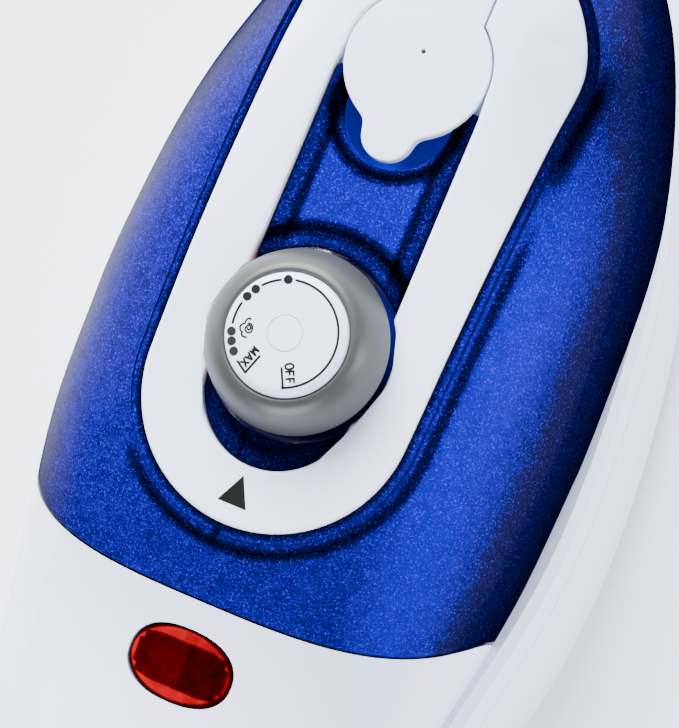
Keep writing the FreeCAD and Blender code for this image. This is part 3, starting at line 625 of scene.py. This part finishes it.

# %% [markdown]
# ## Wells and inlet
# The finger well, the recess under the dial and the filler inlet are plain turned cups. Their mould faces were
# polished, so they shine where the floor around them is grained. The finger well is painted a brighter blue as
# painted light through its thin wall, and the recess under the dial a darker blue as painted shade.

# %% Wells
cup = turned("finger_well_cup", [
    (WELL_R + 1.6, 33.8), (WELL_R + 1.6, WELL_FLOOR - 1.2), (0, WELL_FLOOR - 1.2), (0, WELL_FLOOR),
    (WELL_R - 2.2, WELL_FLOOR), (WELL_R - 0.9, WELL_FLOOR + 0.5), (WELL_R - 0.25, WELL_FLOOR + 1.4),
    (WELL_R - 0.05, WELL_FLOOR + 3), (WELL_R, 33.8)], blue_painted_light, "body", (0, WELL_Y))
dial_cup = turned("dial_recess", [
    (3.6, 33.8), (DIAL_WELL - 0.4, 33.8), (DIAL_WELL, 34.2), (DIAL_WELL, FLOOR_Z - 0.4), (DIAL_WELL + 0.1, 35.6),
    (DIAL_WELL + 0.1, 31.6), (5.6, 31.6), (5.6, 2), (3.6, 2)], blue_painted_shade, "body")
inlet = turned("filler_inlet_tube", [(6.5, 34.7), (6.5, 22), (7.9, 22), (7.9, 34.7)], blue_smooth, "body", (0, 51.6))
print("wells:", cup.name, dial_cup.name, inlet.name)

# %% [markdown]
# ## The console
# The console is a flat 3 mm moulding with edges rounded to 0.7 mm. Its outer outline is the one that the skin of
# the tank starts from. Its inner outline runs down the channel, round the dial and round the rear, and follows
# the lid at the front. A flat face with a hole is again cut with the triangulation, and both edges get the same
# rounding. The middle stays flat, and towards the tip the shoulders sink with the hull: points inside the face,
# 1.3 mm apart, let it bend without facets.

# %% Console outlines
LID_Y, LID_R, LID_GAP, NECK_HALF, HINGE_Y = 48.4, 12.0, 0.28, 7.6, 68.5
LID_THICK = 2.3


def rounded_plate(name, outer, holes, top, thick, edge, finish, body, step=None, sink=None):
    """A plate with rounded top edges. Outlines are lists of (x, y), the outer one and any holes. A step in mm adds
    points inside, and sink(x, y) says how far each point is lowered."""
    loops = [outer] + holes
    points, faces, inset_loops = [], [], []
    for number, loop in enumerate(loops):
        count = len(loop)
        area = sum(loop[i][0] * loop[(i + 1) % count][1] - loop[(i + 1) % count][0] * loop[i][1]
                   for i in range(count))
        turn = (1 if area > 0 else -1) * (1 if number == 0 else -1)
        inward = []
        for i in range(count):
            a, p, b = Vector(loop[i - 1]), Vector(loop[i]), Vector(loop[(i + 1) % count])
            one, two = (p - a).normalized(), (b - p).normalized()
            along = one + two
            along = along.normalized() if along.length > 1e-6 else one
            normal = Vector((-along.y, along.x)) * turn
            stretch = 1 / max(0.45, math.sqrt(max(0.0, (1 + one.dot(two)) / 2)))
            inward.append(normal * stretch)
        inset_loops.append(inward)
    rings_all = []
    for loop, inward in zip(loops, inset_loops):
        rings = []
        for k in range(7):
            a = math.pi / 2 * k / 6
            inn, fall = edge * (1 - math.sin(a)), edge * (1 - math.cos(a))
            ring = []
            for p, n in zip(loop, inward):
                ring.append(len(points))
                points.append((p[0] + n.x * inn, p[1] + n.y * inn, top - fall))
            rings.append(ring)
        ring = []
        for p in loop:
            ring.append(len(points))
            points.append((p[0], p[1], top - thick))
        rings.append(ring)
        rings_all.append(rings)
        count = len(loop)
        for a, b in zip(rings, rings[1:]):
            for i in range(count):
                j = (i + 1) % count
                faces.append((a[i], a[j], b[j], b[i]))
    spots = []
    if step:
        for column in range(int((max(p[0] for p in outer) - min(p[0] for p in outer)) / step)):
            for row in range(int((max(p[1] for p in outer) - min(p[1] for p in outer)) / step)):
                spot = Vector((min(p[0] for p in outer) + (column + 0.5) * step,
                               min(p[1] for p in outer) + (row + 0.5) * step))
                if inside_loop(spot, outer, 1.2) and not any(
                        inside_loop(spot, loop, 0) or near_loop(spot, loop, 1.2) for loop in holes):
                    spots.append(spot)
    for level in (0, -1):
        used, border = [], []
        for rings in rings_all:
            ring = rings[level]
            base = len(used)
            used += ring
            border += [(base + i, base + (i + 1) % len(ring)) for i in range(len(ring))]
        if spots:
            extra = range(len(points), len(points) + len(spots))
            points += [(p.x, p.y, top if level == 0 else top - thick) for p in spots]
            used += extra
        flat = [Vector(points[i][:2]) for i in used]
        _, _, triangles, origin, _, _ = delaunay_2d_cdt(flat, border, [], 1, 1e-6)
        for t in triangles:
            middle = sum((flat[origin[i][0]] for i in t), Vector((0, 0))) / 3
            if all(origin[i] for i in t) and not any(inside_loop(middle, loop, 0) for loop in holes):
                faces.append(tuple(used[origin[i][0]] for i in t))
    if sink:
        points = [(x, y, z - sink(x, y)) for x, y, z in points]
    return piece(name, points, faces, finish, body, None, 40)


outer_loop = [(x, y) for x, y, _ in outline]
meet = -(DIAL_HOLE ** 2 - CHANNEL_HALF ** 2 + CHANNEL_REAR_Y ** 2) / (2 * -CHANNEL_REAR_Y)
angle_rear = math.degrees(math.asin((meet - CHANNEL_REAR_Y) / CHANNEL_HALF))
angle_dial = math.degrees(math.asin(meet / DIAL_HOLE))
angle_out = math.degrees(math.acos(CHANNEL_HALF / DIAL_HOLE))
lid_edge = LID_R + LID_GAP
neck_edge = NECK_HALF + LID_GAP
neck_angle = math.degrees(math.acos(neck_edge / lid_edge))
right_hole = arc(0, CHANNEL_REAR_Y, CHANNEL_HALF, -90, angle_rear, 40)
right_hole += arc(0, 0, DIAL_HOLE, angle_dial, angle_out, 50)[1:]
right_hole += [(CHANNEL_HALF, 12 + 2 * i) for i in range(16)]
right_hole += [(CHANNEL_HALF - 0.02, 43.6), (lid_edge + 0.16, 45.6), (lid_edge + 0.03, 47.2)]
right_hole += arc(0, LID_Y, lid_edge, 0, neck_angle, 30)
right_hole += [(neck_edge, 60 + 1.5 * i) for i in range(8)] + [(neck_edge, HINGE_Y + 2.4)]
hole_loop = right_hole + [(-x, y) for x, y in reversed(right_hole[1:])]
EDGE_RADIUS, FACE_STEP = 0.7, 1.3
console = rounded_plate("console_moulding", outer_loop, [hole_loop], CONSOLE_TOP, CONSOLE_THICK, EDGE_RADIUS,
                        white_abs, "body", FACE_STEP, console_sink)
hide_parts("console_ring")

pocket = arc(0, LID_Y, LID_R + 0.9, -8, 42, 30)
pocket += [(NECK_HALF + 1, HINGE_Y + 3), (-NECK_HALF - 1, HINGE_Y + 3)]
pocket += arc(0, LID_Y, LID_R + 0.9, 138, 188, 30) + [(-12.2, 43.8), (12.2, 43.8)]
inlet_loop = arc(0, 51.6, 6.9, 0, 355, 71)
rounded_plate("lid_pocket_floor", pocket, [inlet_loop], 34.85, 1.2, 0.1, white_abs, "body")
print("console points:", len(console.data.vertices))

# %% [markdown]
# ## The lid
# The filler lid is one smooth plate: a disc, a thumb lobe that hangs over the finger well, and a neck that runs
# forward to a pin. Its edges are rounded a little more than the console's, so a fine grey line shows round it.
# A tiny mark in the middle is where the mould was filled.

# %% Lid
def lid_outline():
    lobe_half, lobe_y = 4.3, 36.1
    waist_angle = 38.0
    points = arc(0, LID_Y, LID_R, 90 - math.degrees(math.asin(NECK_HALF / LID_R)), -90 + waist_angle, 44)
    p0 = Vector(points[-1])
    d0 = Vector((math.sin(math.radians(-90 + waist_angle)), -math.cos(math.radians(-90 + waist_angle))))
    lobe_start = arc(0, lobe_y, lobe_half, -12, -12, 1)[0]
    p3 = Vector(lobe_start)
    d3 = Vector((-math.sin(math.radians(-12)), math.cos(math.radians(-12))))
    p1, p2 = p0 + d0 * 2.9, p3 + d3 * 2.6
    for i in range(1, 16):
        t = i / 16
        q = p0 * (1 - t) ** 3 + p1 * 3 * t * (1 - t) ** 2 + p2 * 3 * t * t * (1 - t) + p3 * t ** 3
        points.append((q.x, q.y))
    points += arc(0, lobe_y, lobe_half, -12, -90, 18)
    left = [(-x, y) for x, y in reversed(points[:-1])]
    head = [(-NECK_HALF, 62), (-NECK_HALF, HINGE_Y - 3.8), (-5.4, HINGE_Y - 3.8), (-5.4, HINGE_Y + 1.7),
            (5.4, HINGE_Y + 1.7), (5.4, HINGE_Y - 3.8), (NECK_HALF, HINGE_Y - 3.8), (NECK_HALF, 62)]
    return points + left + head


lid = rounded_plate("lid_moulding", lid_outline(), [], CONSOLE_TOP + 0.02, LID_THICK, 0.3, white_abs, "lid")
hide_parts("filler_lid")
turned("lid_gate_mark", [(0, CONSOLE_TOP + 0.05), (0.32, CONSOLE_TOP + 0.045), (0.42, CONSOLE_TOP + 0.01),
                         (0, CONSOLE_TOP + 0.01)], grey_ink, "lid", (0.2, 50.6), 20)
print("lid points:", len(lid.data.vertices))

# %% [markdown]
# ## The dial
# The dial has a matt grey grip with a wide rounded rim and a white disc that stands 1.3 mm proud of it. Both are
# turned from smooth profiles: a short list of points is joined by a curve, so the light rolls round the rim.

# %% Dial grip and disc
def smooth_line(points, steps=6):
    """A smooth curve through points (Catmull-Rom), with a number of steps for each gap."""
    made = []
    for i in range(len(points) - 1):
        a, b = points[max(i - 1, 0)], points[i]
        c, d = points[i + 1], points[min(i + 2, len(points) - 1)]
        for k in range(steps):
            t = k / steps
            made.append(tuple(0.5 * (2 * q + (r - p) * t + (2 * p - 5 * q + 4 * r - u) * t * t
                                     + (3 * q - p - 3 * r + u) * t ** 3) for p, q, r, u in zip(a, b, c, d)))
    return made + [tuple(points[-1])]


DISC_TOP, ROUND_STEPS = 48.7, 128
rim = smooth_line([(10.06, 47.0), (10.25, 47.28), (10.7, 47.36), (11.5, 47.05), (12.45, 46.2), (13.3, 44.9),
                   (14.05, 43.1), (14.6, 41.3), (14.92, 40.0), (14.98, 39.3), (14.86, 38.5), (14.4, 38.02),
                   (13.8, 37.92)], 5)
grip = turned("dial_grip_moulding", [(3.1, 42.4), (9.0, 42.4), (9.0, 45.9), (10.06, 45.9)] + rim
              + [(12.8, 37.92), (12.8, 40.5), (3.1, 40.5)], grey_pp, "dial", steps=ROUND_STEPS)
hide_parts("dial_grip")
edge = smooth_line([(10.0, 46.9), (9.93, 47.45), (9.72, 48.0), (9.35, 48.42), (8.95, 48.63), (8.7, 48.69)], 4)
disc = turned("dial_disc", [(0, 45.95), (10.0, 45.95)] + edge
              + [(3.0, DISC_TOP), (2.93, 48.64), (2.92, 48.35), (0, 48.35)], white_abs, "dial", steps=ROUND_STEPS)
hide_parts("dial_face")
print("dial:", len(grip.data.vertices), len(disc.data.vertices))

# %% [markdown]
# ## The print on the dial
# A steam iron's dial runs from OFF through one, two and three dots to MAX, with a sign for steam on the way. The
# print is a layer of ink 0.03 mm thick. It is drawn in the plane of the dial as strokes with a width, and the
# letters are short strokes too. The whole print is turned so that its single dot faces the user.

# %% Dial print
INK, PRINT_TURN = 0.03, math.radians(22.8)
PRINT_R = 8.54


def print_at(ex, ey):
    """From the drawing of the print to the deck."""
    c, s = math.cos(PRINT_TURN), math.sin(PRINT_TURN)
    return (c * ex - s * ey, s * ex + c * ey)


def print_arc(radius, start, end, step=2.0):
    """Points on the print's circle; angles grow to the left from the top of the drawing."""
    count = max(2, int(abs(end - start) / step))
    return [(-radius * math.sin(math.radians(start + (end - start) * i / count)),
             radius * math.cos(math.radians(start + (end - start) * i / count))) for i in range(count + 1)]


def strokes(name, lines, dots, finish, z):
    """Ink strokes (a list of points and a width each) and round dots, as one thin raised layer."""
    points, faces = [], []

    def slab(loop):
        base = len(points)
        points.extend((x, y, z) for x, y in loop)
        points.extend((x, y, z + INK) for x, y in loop)
        n = len(loop)
        faces.append(tuple(range(base + n, base + 2 * n)))
        faces.append(tuple(range(base + n - 1, base - 1, -1)))
        for i in range(n):
            j = (i + 1) % n
            faces.append((base + i, base + j, base + n + j, base + n + i))

    for line, width in lines:
        line = [Vector(print_at(*p)) for p in line]
        sides = []
        for i, p in enumerate(line):
            along = (line[min(i + 1, len(line) - 1)] - line[max(i - 1, 0)]).normalized()
            sides.append(Vector((-along.y, along.x)) * width / 2)
        loop = [p + n for p, n in zip(line, sides)] + [p - n for p, n in reversed(list(zip(line, sides)))]
        slab([(p.x, p.y) for p in reversed(loop)])
    for (ex, ey), radius in dots:
        cx, cy = print_at(ex, ey)
        slab([(cx + radius * math.cos(2 * math.pi * i / 28), cy + radius * math.sin(2 * math.pi * i / 28))
              for i in range(28)])
    return piece(name, points, faces, finish, "dial", smooth_angle=20)


LETTERS = {
    "O": [[(0.5 + 0.44 * math.cos(a * math.pi / 8), 0.5 + 0.47 * math.sin(a * math.pi / 8)) for a in range(17)]],
    "F": [[(0.12, 0.0), (0.12, 1.0)], [(0.04, 0.94), (0.86, 0.94)], [(0.12, 0.5), (0.74, 0.5)]],
    "M": [[(0.06, 0.0), (0.06, 1.0)], [(0.06, 0.97), (0.5, 0.12)], [(0.5, 0.12), (0.94, 0.97)],
          [(0.94, 1.0), (0.94, 0.0)]],
    "A": [[(0.02, 0.0), (0.5, 0.98)], [(0.5, 0.98), (0.98, 0.0)], [(0.2, 0.34), (0.8, 0.34)]],
    "X": [[(0.05, 0.0), (0.95, 1.0)], [(0.05, 1.0), (0.95, 0.0)]],
}


def letter(sign, origin, along, up, wide, tall, width):
    """Strokes of one letter standing on a base point."""
    return [([(origin[0] + along[0] * wide * u + up[0] * tall * v, origin[1] + along[1] * wide * u + up[1] * tall * v)
              for u, v in line], width) for line in LETTERS[sign]]


THICK_LINE, THIN_LINE = 0.38, 0.34
lines = [(print_arc(PRINT_R, 3.6, 26.0), THICK_LINE), (print_arc(PRINT_R, 53.2, 78.3), THICK_LINE),
         (print_arc(PRINT_R, -10.9, -183.5), THICK_LINE), ([(-0.47, -5.29), (-0.23, -8.7)], THICK_LINE),
         ([(-3.9, -3.39), (-6.34, -6.13)], THICK_LINE), ([(-6.17, -6.12), (-7.55, -4.12)], THICK_LINE)]
for number, sign in enumerate("OFF"):
    corner = (0.04 + 0.06 * number, -4.75 - 1.16 * number)
    lines += letter(sign, corner, (0.06, -1.0), (1.0, 0.06), 1.0, 1.45, THIN_LINE)
for sign, middle in (("M", (-4.78, -2.66)), ("A", (-5.58, -3.61)), ("X", (-6.31, -4.42))):
    along, up, wide, tall = (-0.656, -0.755), (0.755, -0.656), 0.98, 1.35
    base = (middle[0] - along[0] * wide / 2 - up[0] * tall / 2, middle[1] - along[1] * wide / 2 - up[1] * tall / 2)
    lines += letter(sign, base, along, up, wide, tall, THIN_LINE)
puff = [(-5.29, 2.34), (-5.73, 2.52), (-6.17, 2.23), (-6.36, 1.79), (-6.82, 1.64), (-7.15, 1.20), (-7.04, 0.62),
        (-6.78, 0.40), (-6.90, 0.04), (-6.61, -0.37), (-6.02, -0.43)]
swirl = [(-5.92, 1.79), (-5.34, 1.57), (-5.15, 1.06), (-5.34, 0.40), (-5.88, 0.26), (-6.31, 0.62), (-6.31, 0.98),
         (-6.02, 1.35), (-5.66, 1.42), (-5.44, 1.06), (-5.66, 0.69), (-5.95, 0.84), (-5.88, 1.13)]
lines += [(smooth_line(puff, 4), 0.3), (smooth_line(swirl, 4), 0.28)]
dark_dots = [(print_arc(PRINT_R, -3.3, 0.0)[0], 0.745)]
pale_dots = [(print_arc(PRINT_R, angle, 0.0)[0], 0.73) for angle in (33.4, 45.1)]
faint_dots = [(print_arc(PRINT_R, angle, 0.0)[0], 0.73) for angle in (86.2, 96.5, 107.7)]
strokes("dial_print", lines, dark_dots, black_ink, DISC_TOP)
strokes("dial_print_two_dots", [], pale_dots, dark_grey_ink, DISC_TOP)
strokes("dial_print_three_dots", [], faint_dots, grey_ink, DISC_TOP)
print("print strokes:", len(lines), "dots:", len(dark_dots + pale_dots + faint_dots))

# %% [markdown]
# ## The pilot lens
# The lens is clear red polycarbonate with a hollow back. Its rim is thick and glows bright red, and the lamp and
# its dark holder show through the middle; this glow and the dark middle are painted light and shade on an opaque
# shell. Rings of points run from the rim to the middle of the dome, and the number on each point again holds the
# painted light and shade.

# %% Pilot lens
LENS_Y, LENS_HALF_X, LENS_HALF_Y = -54.6, 8.95, 5.95


def lens_painted_light(x, y):
    """Painted light and shade: a painted glow at the rim, painted shade over the barrel shaped lamp holder, half dark
    on its sunny side, lighter towards negative x and darker at the very edge.
    """
    u, v = x / LENS_HALF_X, (y - LENS_Y) / LENS_HALF_Y
    barrel = 0.66 - 0.16 * max(0.0, abs(u) - 0.5) / 0.5 if abs(u) < 0.8 else -0.2
    inside = ramp(barrel - abs(v), -0.02, 0.05)
    if abs(u) < 0.9 and abs(v) < 0.34:
        inside = max(inside, ramp(0.88 - abs(u), -0.02, 0.03))
    shade = 0.22 + 0.16 * ramp(-u, -0.1, -0.02) - 0.12 * band(abs(u), 0.72, 0.14)
    rim_line = 1 - ramp(math.hypot(u, v), 0.93, 0.99)
    return ((0.8 - 0.12 * u) * (1 - inside) + shade * inside) * (0.35 + 0.65 * rim_line)


lens_points, lens_faces, lens_painted_light_values = [], [], []
LENS_RINGS, LENS_STEPS, LENS_BULGE, RIM_DROP = 40, 120, 0.92, 0.75
for ring in range(LENS_RINGS + 3):
    share = min(1.0, 0.02 + ring / LENS_RINGS)
    for i in range(LENS_STEPS):
        c, s = math.cos(2 * math.pi * i / LENS_STEPS), math.sin(2 * math.pi * i / LENS_STEPS)
        x = LENS_HALF_X * share * math.copysign(abs(c) ** LENS_BULGE, c)
        y = LENS_Y + LENS_HALF_Y * share * math.copysign(abs(s) ** LENS_BULGE, s)
        side = max(0.0, (share - 0.9) / 0.1)
        z = hull_height(x, y) - 0.12 - RIM_DROP * (1 - math.sqrt(max(0.0, 1 - side ** 2)))
        z -= 1.2 * max(0, ring - LENS_RINGS)
        lens_points.append((x, y, z))
        # painted light and shade of the point
        lens_painted_light_values.append(lens_painted_light(x, y))
for ring in range(LENS_RINGS + 2):
    for i in range(LENS_STEPS):
        j = (i + 1) % LENS_STEPS
        a, b = ring * LENS_STEPS, (ring + 1) * LENS_STEPS
        lens_faces.append((a + i, a + j, b + j, b + i))
lens_faces.append(tuple(range(LENS_STEPS)))
lens = piece("pilot_lens_dome", lens_points, lens_faces, red_clear, "body", lens_painted_light_values, 50)
shell = lens.modifiers.new("shell", "SOLIDIFY")
shell.thickness, shell.offset = 1.2 * MM, -1.0
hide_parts("indicator_lens")
print("lens points:", len(lens_points))

# %% [markdown]
# ## Studio
# The iron stands on a plain pale floor. One large flat face is enough: a curved backdrop would only matter from
# low angles.

# %% Floor
FLOOR_REACH = 4.0
floor_mesh = bpy.data.meshes.new("studio_floor")
floor_mesh.from_pydata([(x * FLOOR_REACH, y * FLOOR_REACH, 0) for x, y in ((-1, -1), (1, -1), (1, 1), (-1, 1))], [],
                       [(0, 1, 2, 3)])
floor_mesh.materials.append(simple("painted_white_board", "#ffffff", 0.7))
floor = bpy.data.objects.new("studio_floor", floor_mesh)
bpy.context.scene.collection.objects.link(floor)

# %% [markdown]
# Glossy plastic shows its lights as shapes, so they are large and soft. The main box stands high in front, a
# smaller one on each side draws a line along the tank, and one behind fills the handle. They stand low enough to
# keep their reflections off the top of the tank. An even sky lifts the shadows.

# %% Light
world = bpy.data.worlds.new("studio_sky")
bpy.context.scene.world = world
world.use_nodes = True
world.node_tree.nodes.clear()
sky = add(world.node_tree, "ShaderNodeBackground", {"Color": linear("#eef1fa"), "Strength": 0.45})
add(world.node_tree, "ShaderNodeOutputWorld", links={"Surface": sky.outputs["Background"]})


def softbox(name, place, target, size_x, size_y, watts, colour="#ffffff"):
    """A rectangular area light that faces its target. Lengths in metres."""
    lamp = bpy.data.lights.new(name, "AREA")
    lamp.shape, lamp.size, lamp.size_y = "RECTANGLE", size_x, size_y
    lamp.energy, lamp.color = watts, linear(colour)[:3]
    made = bpy.data.objects.new(name, lamp)
    made.location = place
    made.rotation_euler = (Vector(target) - Vector(place)).to_track_quat("-Z", "Y").to_euler()
    bpy.context.scene.collection.objects.link(made)
    return made


AIM_AT = (0, 0, 0.06)
softbox("key_softbox", (-0.5, 1.0, 0.75), AIM_AT, 1.0, 0.8, 100)
softbox("left_softbox", (-1.2, 0.0, 0.5), AIM_AT, 0.5, 0.9, 12)
softbox("rear_softbox", (0.3, -1.3, 0.6), AIM_AT, 1.0, 0.5, 40, "#f2f5ff")
softbox("right_softbox", (1.3, 0.2, 0.4), AIM_AT, 0.3, 0.8, 22, "#eef1ff")
print("lights set")

# %% [markdown]
# ## Camera
# The camera looks down on the dial from 650 mm away with a long lens, tilted fourteen degrees to the right and
# three to the rear, and rolled so that the iron runs from the lower left to the upper right.

# %% Camera
TILT_X, TILT_Y, ROLL, DISTANCE = math.radians(14), math.radians(-3), math.radians(22.8), 650.0
SENSOR, FOCAL = 36.0, 218.122
AIM = Vector((0, 0, 40))
# how far left of and above the middle of the view the aim point lies, as slopes
AIM_LEFT, AIM_ABOVE = 0.010549, 0.005518
toward = Vector((math.tan(TILT_X), math.tan(TILT_Y), 1)).normalized()
eye = AIM + toward * DISTANCE
forward = -toward
for _ in range(20):
    up = (Vector((0, 1, 0)) - forward * forward.y).normalized()
    side = forward.cross(up)
    across = side * math.cos(ROLL) + up * math.sin(ROLL)
    upward = up * math.cos(ROLL) - side * math.sin(ROLL)
    ray = (forward - across * AIM_LEFT + upward * AIM_ABOVE).normalized()
    forward = (forward + ((AIM - eye).normalized() - ray)).normalized()
turn = DECK.to_3x3().normalized()
basis = Matrix((turn @ across, turn @ upward, turn @ -forward)).transposed().to_4x4()
lens_data = bpy.data.cameras.new("camera")
lens_data.sensor_fit, lens_data.sensor_width = "HORIZONTAL", SENSOR
lens_data.lens = FOCAL
lens_data.clip_start, lens_data.clip_end = 0.05, 20.0
camera = bpy.data.objects.new("camera", lens_data)
bpy.context.scene.collection.objects.link(camera)
camera.matrix_world = Matrix.Translation(DECK @ eye) @ basis
bpy.context.scene.camera = camera
print("camera at", [round(v, 3) for v in camera.location], "lens", round(lens_data.lens, 1))
